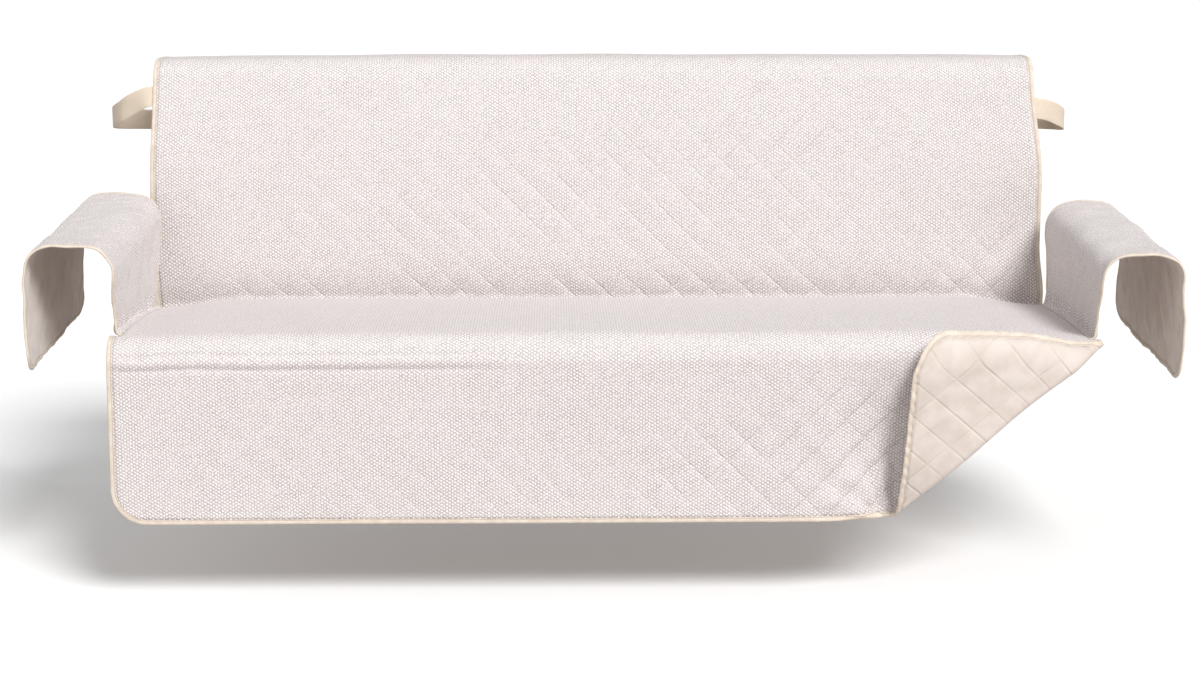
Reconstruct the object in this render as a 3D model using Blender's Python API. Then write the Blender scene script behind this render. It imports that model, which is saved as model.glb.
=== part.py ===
"""Quilted slipcover for a three-seat sofa, as it lies on the sofa, one front corner folded back.

The cover is hollow: the sofa it fits over is left out. The origin is under the middle of the
top of the back, where the sofa's back holds the cover up. +X is the sofa's length, -Y its front.
Each sewn piece is drawn flat, in x and in s, the distance along the cloth from the top of the
back (front positive), divided along the folds, and then draped over the sofa's form.
"""

import math

import bmesh
import bpy
from mathutils import Vector

# Flat sizes of the cover, in metres.
COVER_WIDTH = 1.700  # back and skirt, over both bound edges
SEAT_WIDTH = 1.660  # seat, between the two arm seams
SHEET = 0.003  # two cloths quilted over thin wadding
BINDING = 0.008  # width of the bound edge
SEAM = 0.0003  # clearance between two sewn pieces
COVER_CORNER = 0.062  # radius of the skirt's and the rear drop's corners
ARM_CORNER = 0.040
STRAP_WIDTH = 0.038
STRAP_THICKNESS = 0.0015

# The cover's side view from the top of the back: name, length, turn in degrees, divisions.
FRONT_RUN = (
    ("top", 0.080, 4.0, 1),
    ("front top edge", 0.071, 74.0, 5),
    ("back face", 0.405, 12.0, 7),
    ("into the crevice", 0.034, 4.0, 1),
    ("crevice turn", 0.0157, -180.0, 6),
    ("out of the crevice", 0.013, 0.0, 1),
    ("rear edge of the seat", 0.0262, 83.5, 3),
    ("seat", 0.472, 6.5, 8),
    ("front edge of the seat", 0.0707, 90.0, 5),
    ("skirt", 0.2805, 0.0, 5),
)
FRONT_HEADING = -4.0
REAR_RUN = (
    ("top", 0.060, 4.0, 1),
    ("rear top edge", 0.0716, 82.0, 5),
    ("rear drop", 0.300, 0.0, 4),
)
REAR_HEADING = 4.0

# How the form varies along the sofa's length.
TOP_SAG = 0.003  # ends of the top below its middle
EDGE_FALL_REAR = 0.017  # seat edges below the seat's middle, at the crevice
EDGE_FALL_FRONT = {-1: 0.004, 1: 0.018}
EDGE_FALL_START = 0.680
BACK_SHIFT = -0.0075  # the back part lies a little to the left of the seat
BACK_NARROWING = 0.004
CORNER_PULL = {-1: 0.006, 1: 0.016}  # the strap draws the top corners in

# Where the cloth sinks into the sofa's soft places, and where the back cushion is fuller.
CORNER_HOLLOW = {-1: 0.022, 1: 0.036}  # at the foot of the back, beside each arm
CORNER_HOLLOW_START = {-1: 0.70, 1: 0.62}
CORNER_HOLLOW_END = 0.87
FOLD_HOLLOW = 0.034  # in the skirt, beside the folded corner
FOLD_HOLLOW_X = 0.500
FOLD_HOLLOW_SLANT = 0.10
FOLD_HOLLOW_WIDTH = 0.070
BACK_CROWN = 0.004

# The folded corner: a straight crease across the skirt's right end.
CREASE_FOOT_X = 0.479  # where the crease meets the hem
CREASE_ANGLE = math.radians(42.5)
CREASE_RADIUS = 0.008
FLAP_TAKE_UP = 0.91  # the flap bellies, so it reaches less far than it is long
FLAP_SLIP = 0.15  # the flap slides along the crease as it goes over
FLAP_LIFT = 0.026
FLAP_LENGTH = 0.226
FLAP_BRIDGE = 0.080  # by this far past the crease the flap spans the hollow beside it

# Arm panels, seen from the front, from the seam at the seat outwards.
ARM_FOOT = 0.004
ARM_FOOT_RADIUS = 0.008
ARM_SHOULDER_RADIUS = 0.042
ARM_TOP_WIDTH = {-1: 0.074, 1: 0.064}
ARM_TOP_RISE = 6.0  # degrees at the inner side of the crowned top
ARM_TOP_TURN = 10.0
ARM_PANEL_WIDTH = {-1: 0.520, 1: 0.500}  # from the seam over the arm to the outer hem
ARM_TOP_LEVEL = {-1: -0.259, 1: -0.275}  # at the front, below the origin
ARM_TOP_CLIMB = 0.017  # front to rear
ARM_WALL_LEAN = {-1: 4.0, 1: 0.0}  # degrees towards the seat
ARM_FRONT_Y = -0.735
ARM_REAR_Y = -0.205
ARM_SEAM_INSET = 0.006  # from the skirt's bound edge to the arm seam's front end

# The strap's route: its two ends lie under the back's edges, at a flat x and s, and between
# them it goes round the sofa's back, through points chosen by hand.
STRAP_LEFT_END = ((-0.790, 0.170), (-0.840, 0.175), (-0.860, 0.177))
STRAP_RIGHT_END = ((0.838, 0.200), (0.818, 0.198), (0.770, 0.194))
STRAP_ROUND = (
    (-0.886, -0.124, -0.077),
    (-0.915, -0.103, -0.095),
    (-0.937, -0.060, -0.109),
    (-0.944, 0.000, -0.120),
    (-0.936, 0.060, -0.128),
    (-0.904, 0.099, -0.133),
    (-0.840, 0.109, -0.136),
    (-0.420, 0.109, -0.138),
    (0.000, 0.109, -0.139),
    (0.420, 0.109, -0.139),
    (0.820, 0.109, -0.138),
    (0.868, 0.099, -0.136),
    (0.896, 0.060, -0.133),
    (0.903, 0.000, -0.127),
    (0.897, -0.060, -0.118),
    (0.880, -0.101, -0.107),
    (0.858, -0.122, -0.096),
)
STRAP_DIVISIONS = 3  # between two route points

X_LINES = [0.1033 * step for step in range(7)] + [0.38, 0.45, 0.485, 0.56] + [0.68, 0.73, 0.78, 0.83]

COLORS = {
    "quilted cloth": (0.807, 0.761, 0.745, 1.0),
    "binding tape": (0.730, 0.631, 0.479, 1.0),
    "elastic webbing": (0.807, 0.701, 0.552, 1.0),
}
ROUGHNESS = {"quilted cloth": 0.90, "binding tape": 0.85, "elastic webbing": 0.80}


def clear_scene():
    for old in list(bpy.data.objects):
        bpy.data.objects.remove(old, do_unlink=True)


def smooth(value, start, end):
    """0 before start, 1 after end, and an even slope between them."""
    t = min(1.0, max(0.0, (value - start) / (end - start)))
    return t * t * (3 - 2 * t)


def walk(run, heading):
    """Each row of a run with its start: distance, length, y, z, heading and curvature."""
    rows = []
    s, y, z, angle = 0.0, 0.0, SHEET / 2, math.radians(heading)
    for _, length, turn, _ in run:
        curve = math.radians(turn) / length
        rows.append((s, length, y, z, angle, curve))
        y, z, angle = step_along(y, z, angle, curve, length)
        s += length
    return rows


def step_along(y, z, angle, curve, length):
    end = angle + curve * length
    if abs(curve) < 1e-6:
        return y - math.cos(angle) * length, z - math.sin(angle) * length, end
    y -= (math.sin(end) - math.sin(angle)) / curve
    z += (math.cos(end) - math.cos(angle)) / curve
    return y, z, end


FRONT_ROWS = walk(FRONT_RUN, FRONT_HEADING)
REAR_ROWS = walk(REAR_RUN, REAR_HEADING)


def row_start(name, run=FRONT_RUN, rows=FRONT_ROWS):
    names = [row[0] for row in run]
    return rows[names.index(name)][0]


BACK_FACE_S = row_start("back face")
CREVICE_S = row_start("into the crevice")
SEAT_S = row_start("seat")
EDGE_S = row_start("front edge of the seat")
SKIRT_S = row_start("skirt")
HEM_S = SKIRT_S + FRONT_RUN[-1][1]
REAR_HEM_S = -sum(row[1] for row in REAR_RUN)
NOTCH_S = SEAT_S - 0.004  # the cloth keeps the back's width down to here, in the crevice
ARM_SEAM_END = EDGE_S - ARM_SEAM_INSET
ARM_MIDDLE = (SEAT_S + ARM_SEAM_END) / 2


def side_view(s):
    """y, z and the outward normal of the form's side view at distance s."""
    rows, sign = (FRONT_ROWS, 1) if s >= 0 else (REAR_ROWS, -1)
    distance = abs(s)
    row = rows[0]
    for candidate in rows:
        if candidate[0] <= distance:
            row = candidate
    start, _, y, z, angle, curve = row
    y, z, angle = step_along(y, z, angle, curve, distance - start)
    return sign * y, z, Vector((0.0, -sign * math.sin(angle), math.cos(angle)))


def edge_fall(x, s):
    """How far the seat's surface lies below the side view's, near the arms."""
    side = 1 if x > 0 else -1
    depth = smooth(s, SEAT_S, EDGE_S)
    amount = EDGE_FALL_REAR + (EDGE_FALL_FRONT[side] - EDGE_FALL_REAR) * depth
    onto_seat = smooth(s, CREVICE_S - 0.15, CREVICE_S)
    off_seat = 1 - smooth(s, EDGE_S, HEM_S)
    return amount * smooth(abs(x), EDGE_FALL_START, SEAT_WIDTH / 2) * onto_seat * off_seat


def hollow_depth(x, s):
    side = 1 if x > 0 else -1
    corner = CORNER_HOLLOW[side] * smooth(abs(x), CORNER_HOLLOW_START[side], CORNER_HOLLOW_END)
    corner *= smooth(s, 0.26, 0.50) * (1 - smooth(s, 0.56, 0.60))
    offset = (x - FOLD_HOLLOW_X + FOLD_HOLLOW_SLANT * (HEM_S - s)) / FOLD_HOLLOW_WIDTH
    beside = FOLD_HOLLOW * math.exp(-(offset**2)) * smooth(s, EDGE_S + 0.03, HEM_S - 0.08)
    crown = BACK_CROWN * smooth(s, 0.10, 0.25) * (1 - smooth(s, 0.42, 0.56))
    return corner + beside - crown * (1 - smooth(abs(x), 0.2, 0.8))


def form(x, s, sunk=1.0):
    """The point of the sofa's form under the flat point (x, s), and its outward normal."""
    y, z, normal = side_view(s)
    on_back = 1 - smooth(s, CREVICE_S - 0.10, CREVICE_S)
    side = 1 if x > 0 else -1
    pull = CORNER_PULL[side] * smooth(abs(x), 0.45, 0.85)
    pull *= 1 - smooth(s, BACK_FACE_S, BACK_FACE_S + 0.20)
    across = x * (1 - BACK_NARROWING * on_back) + BACK_SHIFT * on_back - side * pull
    z -= TOP_SAG * on_back * (abs(x) / (COVER_WIDTH / 2)) ** 4 + edge_fall(x, s)
    return Vector((across, y, z)) - normal * (hollow_depth(x, s) * sunk), normal


def crease_distances(x, s):
    """Distance along the crease from the hem, and distance past it towards the corner."""
    run, rise = x - CREASE_FOOT_X, HEM_S - s
    along = run * math.cos(CREASE_ANGLE) + rise * math.sin(CREASE_ANGLE)
    past = run * math.sin(CREASE_ANGLE) - rise * math.cos(CREASE_ANGLE)
    return along, past


def from_crease(along, past):
    x = CREASE_FOOT_X + along * math.cos(CREASE_ANGLE) + past * math.sin(CREASE_ANGLE)
    rise = along * math.sin(CREASE_ANGLE) - past * math.cos(CREASE_ANGLE)
    return x, HEM_S - rise


def drape_body(x, s):
    """Body cloth: it follows the form, and past the crease it turns back over itself."""
    along, past = crease_distances(x, s)
    if s < EDGE_S - 0.05 or past <= 0:
        return form(x, s)[0]
    half_turn = math.pi * CREASE_RADIUS
    sunk = 1 - smooth(past, 0.0, FLAP_BRIDGE)
    if past < half_turn:
        angle = past / CREASE_RADIUS
        height = CREASE_RADIUS * (1 - math.cos(angle))
        past = CREASE_RADIUS * math.sin(angle)
    else:
        flap = past - half_turn
        belly = math.sin(math.pi * min(1.0, max(0.0, along / 0.5)))
        height = 2 * CREASE_RADIUS + FLAP_LIFT * belly * smooth(flap, 0.0, FLAP_LENGTH)
        along -= FLAP_SLIP * flap
        past = -FLAP_TAKE_UP * flap
    point, normal = form(*from_crease(along, past), sunk)
    return point + normal * height


def arm_section(wall, side):
    """Rows of an arm panel's section: length, turn in degrees, divisions."""
    lean = ARM_WALL_LEAN[side]
    shoulder = math.radians(90 + lean - ARM_TOP_RISE) * ARM_SHOULDER_RADIUS
    last_turn = 90 + ARM_TOP_RISE - ARM_TOP_TURN
    outer = math.radians(last_turn) * ARM_SHOULDER_RADIUS
    corner = math.radians(90 + lean) * ARM_FOOT_RADIUS
    return (
        (ARM_FOOT, 0.0, 1),
        (corner, 90.0 + lean, 3),
        (wall, 0.0, 2),
        (shoulder, -(90.0 + lean - ARM_TOP_RISE), 4),
        (ARM_TOP_WIDTH[side], -ARM_TOP_TURN, 2),
        (outer, -last_turn, 4),
        (ARM_PANEL_WIDTH[side], 0.0, 3),
    )


def section_point(section, distance):
    """Distance outwards and height of a section's point."""
    across, up, angle = 0.0, 0.0, 0.0
    left = distance
    for length, turn, _ in section:
        step = min(left, length)
        curve = math.radians(turn) / length
        end = angle + curve * step
        if abs(curve) < 1e-6:
            across += math.cos(angle) * step
            up += math.sin(angle) * step
        else:
            across += (math.sin(end) - math.sin(angle)) / curve
            up -= (math.cos(end) - math.cos(angle)) / curve
        angle = end
        left -= step
        if left <= 0:
            break
    return across, up


def wall_length(s, side):
    """Height of the arm's inner wall between its two rounded corners at distance s."""
    foot = form(side * SEAT_WIDTH / 2, s)[0].z
    rearward = (ARM_SEAM_END - s) / (ARM_SEAM_END - SEAT_S)
    level = ARM_TOP_LEVEL[side] + ARM_TOP_CLIMB * rearward
    crown = math.radians(ARM_TOP_RISE) * ARM_TOP_WIDTH[side] * 0.3
    return level - foot - ARM_FOOT_RADIUS - ARM_SHOULDER_RADIUS - crown


def drape_arm(side):
    """Arm cloth at s along the seam and a distance up and over the arm from it.

    The panel is cut wider where the arm's wall is higher, so distances are those at the middle.
    """
    middle_wall = wall_length(ARM_MIDDLE, side)
    wall_start = ARM_FOOT + math.radians(90 + ARM_WALL_LEAN[side]) * ARM_FOOT_RADIUS

    def drape(s, distance):
        foot = form(side * SEAT_WIDTH / 2, s)[0]
        wall = wall_length(s, side)
        on_wall = min(1.0, max(0.0, (distance - wall_start) / middle_wall))
        reach = distance + (wall - middle_wall) * on_wall
        across, up = section_point(arm_section(wall, side), reach)
        rearward = (ARM_SEAM_END - s) / (ARM_SEAM_END - SEAT_S)
        level_y = ARM_FRONT_Y + (ARM_REAR_Y - ARM_FRONT_Y) * rearward
        y = foot.y + (level_y - foot.y) * smooth(distance, 0.03, 0.15)
        return Vector((side * (SEAT_WIDTH / 2 + SEAM + across), y, foot.z + up))

    return drape


def stations(run, rows, sign):
    """The distances at which a run is divided."""
    found = []
    for (_, length, _, parts), row in zip(run, rows):
        found += [sign * (row[0] + length * part / parts) for part in range(1, parts + 1)]
    return found


BODY_LINES = [0.0] + stations(FRONT_RUN, FRONT_ROWS, 1) + stations(REAR_RUN, REAR_ROWS, -1)
SEAT_LINES = [s for s in BODY_LINES if SEAT_S - 0.001 < s < ARM_SEAM_END]


def arc(center, radius, first, last, parts=5):
    """Points on an arc in flat coordinates, angles in degrees."""
    points = []
    for part in range(parts + 1):
        angle = math.radians(first + (last - first) * part / parts)
        points.append((center[0] + radius * math.cos(angle), center[1] + radius * math.sin(angle)))
    return points


def bound_outline(half, end, start, inset, radius):
    """One end of the body, from its left start round two rounded corners to its right start."""
    sign = 1 if end > start else -1
    x, s, r = half - inset, end - sign * inset, radius - inset
    left = arc((r - x, s - sign * r), r, 180, 180 - sign * 90)
    right = [(-px, ps) for px, ps in reversed(left)]
    return [(-x, start)] + left + right + [(x, start)]


def flat_band(mesh, inner, outer):
    """A strip of quads between two matching outlines."""
    rows = [[mesh.verts.new((*point, 0.0)) for point in line] for line in (inner, outer)]
    for index in range(len(inner) - 1):
        mesh.faces.new((rows[0][index], rows[0][index + 1], rows[1][index + 1], rows[1][index]))


def cut(mesh, point, normal, inside=None):
    """Divides the faces along a line in the flat, or only those whose middle is inside."""
    faces = [f for f in mesh.faces if inside is None or inside(f.calc_center_median())]
    edges = {edge for face in faces for edge in face.edges}
    verts = {vert for face in faces for vert in face.verts}
    bmesh.ops.bisect_plane(
        mesh, geom=faces + list(edges) + list(verts), dist=1e-6,
        plane_co=(*point, 0.0), plane_no=(*normal, 0.0),
    )


def cut_body(mesh):
    for x in X_LINES:
        cut(mesh, (x, 0.0), (1.0, 0.0))
        cut(mesh, (-x, 0.0), (1.0, 0.0))
    for s in BODY_LINES:
        cut(mesh, (0.0, s), (0.0, 1.0))


def cut_crease(mesh):
    """Divides the skirt's right end along the crease, its turn and the flap."""
    half_turn = math.pi * CREASE_RADIUS
    across = (math.sin(CREASE_ANGLE), math.cos(CREASE_ANGLE))

    def on_skirt(center):
        return center.y > EDGE_S - 0.02 and center.x > CREASE_FOOT_X - 0.05

    def on_flap(center):
        return on_skirt(center) and crease_distances(center.x, center.y)[1] > half_turn

    for past in [half_turn * part / 6 for part in range(7)] + [0.07, 0.12, 0.17, 0.215]:
        cut(mesh, from_crease(0.0, past), across, on_skirt)
    # The folded cloth bends again where it lies over the seat's front edge.
    _, length, _, parts = FRONT_RUN[-2]
    for part in range(parts + 1):
        rise = HEM_S - SKIRT_S + length * part / parts
        along = rise / math.sin(CREASE_ANGLE)
        tilt = FLAP_TAKE_UP * math.cos(CREASE_ANGLE) - FLAP_SLIP * math.sin(CREASE_ANGLE)
        line_x = math.sin(CREASE_ANGLE) * math.cos(CREASE_ANGLE) + tilt * math.sin(CREASE_ANGLE)
        line_s = -math.sin(CREASE_ANGLE) ** 2 + tilt * math.cos(CREASE_ANGLE)
        cut(mesh, from_crease(along, half_turn), (line_x, line_s), on_flap)


def finish_sheet(name, mesh, drape, material, thickness=SHEET):
    """Drapes the flat mesh as two skins and closes them along every cut edge."""
    bmesh.ops.triangulate(mesh, faces=mesh.faces[:], ngon_method="BEAUTY")
    flat = mesh.verts[:]
    rim = [edge for edge in mesh.edges if edge.is_boundary]
    copied = bmesh.ops.duplicate(mesh, geom=flat + mesh.edges[:] + mesh.faces[:])["vert_map"]
    for edge in rim:
        first, last = edge.verts
        mesh.faces.new((first, last, copied[last], copied[first]))
    for vert in flat:
        x, s = vert.co.x, vert.co.y
        offset = surface_normal(drape, x, s) * (thickness / 2)
        middle = drape(x, s)
        vert.co = middle + offset
        copied[vert].co = middle - offset
    bmesh.ops.recalc_face_normals(mesh, faces=mesh.faces[:])
    if mesh.calc_volume(signed=True) < 0:
        bmesh.ops.reverse_faces(mesh, faces=mesh.faces[:])
    data = bpy.data.meshes.new(name)
    mesh.to_mesh(data)
    mesh.free()
    data.materials.append(cloth_material(material))
    data.shade_smooth()
    data.set_sharp_from_angle(angle=math.radians(50))
    sheet = bpy.data.objects.new(name, data)
    collection().objects.link(sheet)


def surface_normal(drape, x, s):
    """Normal of the draped cloth at a flat point."""
    reach = 1e-4
    along_x = drape(x + reach, s) - drape(x - reach, s)
    along_s = drape(x, s + reach) - drape(x, s - reach)
    return along_s.cross(along_x).normalized()


def collection():
    found = bpy.data.collections.get("sofa_slipcover")
    if found is None:
        found = bpy.data.collections.new("sofa_slipcover")
        bpy.context.scene.collection.children.link(found)
    return found


def cloth_material(name):
    material = bpy.data.materials.get(name)
    if material is None:
        material = bpy.data.materials.new(name)
        material.use_nodes = True
        shader = material.node_tree.nodes["Principled BSDF"]
        shader.inputs["Base Color"].default_value = COLORS[name]
        shader.inputs["Roughness"].default_value = ROUGHNESS[name]
        shader.inputs["Metallic"].default_value = 0.0
    return material


def make_body_panel():
    """Rear drop, back, crevice, seat and skirt in one length of quilted cloth."""
    mesh = bmesh.new()
    inset = BINDING + SEAM
    back = bound_outline(COVER_WIDTH / 2, REAR_HEM_S, NOTCH_S, inset, COVER_CORNER)
    skirt = bound_outline(COVER_WIDTH / 2, HEM_S, EDGE_S, inset, COVER_CORNER)
    half = SEAT_WIDTH / 2
    seat = [mesh.verts.new((x, s, 0.0)) for x, s in
            ((-half, NOTCH_S), (half, NOTCH_S), (half, EDGE_S), (-half, EDGE_S))]
    back_verts = [mesh.verts.new((*point, 0.0)) for point in back]
    skirt_verts = [mesh.verts.new((*point, 0.0)) for point in skirt]
    mesh.faces.new(back_verts + [seat[1], seat[0]])
    mesh.faces.new(seat)
    mesh.faces.new([seat[2], seat[3]] + skirt_verts)
    cut_body(mesh)
    cut_crease(mesh)
    finish_sheet("body_panel", mesh, drape_body, "quilted cloth")


def make_body_binding(name, end, start, folded):
    mesh = bmesh.new()
    inner = bound_outline(COVER_WIDTH / 2, end, start, BINDING, COVER_CORNER)
    outer = bound_outline(COVER_WIDTH / 2, end, start, 0.0, COVER_CORNER)
    flat_band(mesh, inner, outer)
    cut_body(mesh)
    if folded:
        cut_crease(mesh)
    finish_sheet(name, mesh, drape_body, "binding tape")


def arm_outline(inset, side):
    """An arm panel's three free edges in s and distance, from seam to seam."""
    front, rear = ARM_SEAM_END - inset, SEAT_S + inset
    outer, radius = ARM_PANEL_WIDTH[side] - inset, ARM_CORNER - inset
    first = arc((front - radius, outer - radius), radius, 0, 90)
    last = arc((rear + radius, outer - radius), radius, 90, 180)
    return [(front, 0.0)] + first + last + [(rear, 0.0)]


def cut_arm(mesh, side):
    distance = 0.0
    for length, _, parts in arm_section(wall_length(ARM_MIDDLE, side), side):
        for part in range(1, parts + 1):
            cut(mesh, (0.0, distance + length * part / parts), (0.0, 1.0))
        distance += length
    for s in SEAT_LINES:
        cut(mesh, (s, 0.0), (1.0, 0.0))


def make_arm(side, word):
    panel = bmesh.new()
    outline = arm_outline(BINDING + SEAM, side)
    panel.faces.new([panel.verts.new((*point, 0.0)) for point in outline])
    cut_arm(panel, side)
    finish_sheet(f"{word}_arm_panel", panel, drape_arm(side), "quilted cloth")
    band = bmesh.new()
    flat_band(band, arm_outline(BINDING, side), arm_outline(0.0, side))
    cut_arm(band, side)
    finish_sheet(f"{word}_arm_binding", band, drape_arm(side), "binding tape")


def strap_route():
    """Points of the strap's middle line, each with the direction of its upper edge."""
    depth = (SHEET + STRAP_THICKNESS) / 2 + 5 * SEAM
    route = []
    for x, s in STRAP_LEFT_END + STRAP_RIGHT_END:
        normal = surface_normal(form_point, x, s)
        upper = form_point(x, s - STRAP_WIDTH / 2) - form_point(x, s)
        route.append((form_point(x, s) - normal * depth, upper.normalized()))
    between = [(Vector(point), Vector((0.0, 0.0, 1.0))) for point in STRAP_ROUND]
    ends = len(STRAP_LEFT_END)
    return route[:ends] + between + route[ends:]


def form_point(x, s):
    return form(x, s)[0]


def spline(values, spacing, t):
    """A smooth curve through unevenly spaced values, one unit of t for each."""
    index = min(max(int(math.floor(t)), 0), len(values) - 2)
    u = t - index
    length = spacing[index]
    start, end = values[index], values[index + 1]
    leave = slope(values, spacing, index) * length
    arrive = slope(values, spacing, index + 1) * length
    bend = (end - start) * 3 - leave * 2 - arrive
    return start + (leave + (bend + ((start - end) * 2 + leave + arrive) * u) * u) * u


def slope(values, spacing, index):
    before, after = max(index - 1, 0), min(index, len(spacing) - 1)
    first = (values[before + 1] - values[before]) / spacing[before]
    second = (values[after + 1] - values[after]) / spacing[after]
    share = spacing[before] / (spacing[before] + spacing[after])
    return first * (1 - share) + second * share


def make_strap():
    """Elastic strap that holds the cover to the sofa's back."""
    route = strap_route()
    points = [point for point, _ in route]
    uppers = [upper for _, upper in route]
    spacing = [(end - start).length for start, end in zip(points, points[1:])]

    def drape(t, across):
        ahead, behind = spline(points, spacing, t + 1e-3), spline(points, spacing, t - 1e-3)
        heading = (ahead - behind).normalized()
        upper = spline(uppers, spacing, t)
        upper = (upper - heading * upper.dot(heading)).normalized()
        return spline(points, spacing, t) + upper * across

    mesh = bmesh.new()
    last = len(points) - 1
    half = STRAP_WIDTH / 2
    corners = ((0.0, -half), (last, -half), (last, half), (0.0, half))
    mesh.faces.new([mesh.verts.new((*corner, 0.0)) for corner in corners])
    for part in range(1, last * STRAP_DIVISIONS):
        cut(mesh, (part / STRAP_DIVISIONS, 0.0), (1.0, 0.0))
    finish_sheet("elastic_strap", mesh, drape, "elastic webbing", STRAP_THICKNESS)


def main():
    clear_scene()
    make_body_panel()
    make_body_binding("back_binding", REAR_HEM_S, NOTCH_S, False)
    make_body_binding("skirt_binding", HEM_S, EDGE_S, True)
    for side, word in ((-1, "left"), (1, "right")):
        make_arm(side, word)
    make_strap()


main()
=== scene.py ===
import math

import bmesh
import bpy
import numpy as np
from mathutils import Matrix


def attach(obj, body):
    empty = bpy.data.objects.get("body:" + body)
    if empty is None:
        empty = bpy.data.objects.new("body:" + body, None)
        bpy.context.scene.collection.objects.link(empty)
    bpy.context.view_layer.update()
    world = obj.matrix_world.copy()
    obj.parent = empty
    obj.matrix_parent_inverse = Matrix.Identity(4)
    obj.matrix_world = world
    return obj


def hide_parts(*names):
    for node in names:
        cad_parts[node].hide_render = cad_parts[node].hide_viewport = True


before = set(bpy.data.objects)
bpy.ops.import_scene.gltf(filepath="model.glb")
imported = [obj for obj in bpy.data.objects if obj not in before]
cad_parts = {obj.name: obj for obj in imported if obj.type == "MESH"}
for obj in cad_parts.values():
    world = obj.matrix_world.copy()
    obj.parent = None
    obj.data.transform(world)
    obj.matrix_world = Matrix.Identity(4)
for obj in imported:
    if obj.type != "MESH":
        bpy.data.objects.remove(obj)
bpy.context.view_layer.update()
print("frame loaded:", ", ".join(sorted(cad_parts)))

# The cover's flat sizes and the sofa form under it, in metres and degrees, as in the frame's own design.
# x is measured across the cloth, and s along it from the top of the back, towards the front.
cover = {
    "halfWidth": 0.850,       # of the back and the skirt, over their bound edges
    "halfSeat": 0.830,        # from the middle to an arm seam
    "sheet": 0.003,           # two cloths quilted over thin wadding
    "binding": 0.008,
    "creviceInset": 0.004,    # the back's tape ends this far before the seat
    "seam": 0.0003,
    "corner": 0.062,          # radius of the skirt's and the rear drop's corners
    "armCorner": 0.040,
    "frontRun": (             # length and turn of each stretch, from the top of the back
        ("top", 0.080, 4.0),
        ("front top edge", 0.071, 74.0),
        ("back face", 0.405, 12.0),
        ("into the crevice", 0.034, 4.0),
        ("crevice turn", 0.0157, -180.0),
        ("out of the crevice", 0.013, 0.0),
        ("rear edge of the seat", 0.0262, 83.5),
        ("seat", 0.472, 6.5),
        ("front edge of the seat", 0.0707, 90.0),
        ("skirt", 0.2805, 0.0),
    ),
    "frontHeading": -4.0,
    "rearRun": (("top", 0.060, 4.0), ("rear top edge", 0.0716, 82.0), ("rear drop", 0.300, 0.0)),
    "rearHeading": 4.0,
    "topSag": 0.003,
    "edgeFallRear": 0.017,    # the seat lies lower along the arms
    "edgeFallFront": (0.004, 0.018),   # left, right
    "edgeFallStart": 0.680,
    "backShift": -0.0075,
    "backNarrowing": 0.004,
    "cornerPull": (0.006, 0.016),
}
fold = {                      # the corner that is turned back
    "footX": 0.479,           # where the crease meets the hem
    "angle": math.radians(42.5),
    "radius": 0.008,
    "takeUp": 0.91,           # share of its width that the bowed flap covers
    "slip": 0.15,             # how far it slides along the crease, as a share of its width
    "lift": 0.026,
    "length": 0.226,
    "bridge": 0.080,          # by this far past the crease the flap spans the hollow beside it
}
arms = {                      # left, right
    "foot": 0.004,
    "footRadius": 0.008,
    "shoulderRadius": 0.042,
    "topWidth": (0.074, 0.064),
    "topRise": 6.0,
    "topTurn": 10.0,
    "panelWidth": (0.520, 0.500),
    "topLevel": (-0.259, -0.275),
    "topClimb": 0.017,
    "wallLean": (4.0, 0.0),
    "frontY": -0.735,
    "rearY": -0.205,
    "seamInset": 0.006,
}


def ease(value, start, end):
    t = np.clip((value - start) / (end - start), 0.0, 1.0)
    return t * t * (3 - 2 * t)


def band(value, rise, full, fade, gone):
    return ease(value, rise, full) * (1 - ease(value, fade, gone))


def stepAlong(y, z, angle, curve, length):
    end = angle + curve * length
    straight = np.abs(curve) < 1e-6
    bend = np.where(straight, 1.0, curve)
    dy = np.where(straight, -np.cos(angle) * length, -(np.sin(end) - np.sin(angle)) / bend)
    dz = np.where(straight, -np.sin(angle) * length, (np.cos(end) - np.cos(angle)) / bend)
    return y + dy, z + dz, end


def walkRun(run, heading):
    rows = []
    s, y, z, angle = 0.0, 0.0, cover["sheet"] / 2, math.radians(heading)
    for _, length, turn in run:
        curve = math.radians(turn) / length
        rows.append((s, y, z, angle, curve))
        y, z, angle = (float(value) for value in stepAlong(y, z, angle, curve, length))
        s += length
    return np.array(rows)


frontRows = walkRun(cover["frontRun"], cover["frontHeading"])
rearRows = walkRun(cover["rearRun"], cover["rearHeading"])
runStart = {row[0]: place[0] for row, place in zip(cover["frontRun"], frontRows)}
backFaceS = runStart["back face"]
creviceS = runStart["into the crevice"]
seatS = runStart["seat"]
edgeS = runStart["front edge of the seat"]
skirtS = runStart["skirt"]
hemS = skirtS + cover["frontRun"][-1][1]
rearHemS = -sum(row[1] for row in cover["rearRun"])
armSeamEnd = edgeS - arms["seamInset"]
armMiddle = (seatS + armSeamEnd) / 2


def sideView(s):
    front = s >= 0
    distance = np.abs(s)
    places = []
    for rows in (frontRows, rearRows):
        index = np.clip(np.searchsorted(rows[:, 0], distance, side="right") - 1, 0, len(rows) - 1)
        start, y, z, angle, curve = rows[index].T
        places.append(stepAlong(y, z, angle, curve, distance - start))
    sign = np.where(front, 1.0, -1.0)
    y, z, angle = (np.where(front, ahead, behind) for ahead, behind in zip(*places))
    normal = np.stack([0 * y, -sign * np.sin(angle), np.cos(angle)], axis=-1)
    return sign * y, z, normal


def bySide(x, pair):
    return np.where(x > 0, pair[1], pair[0])


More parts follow.
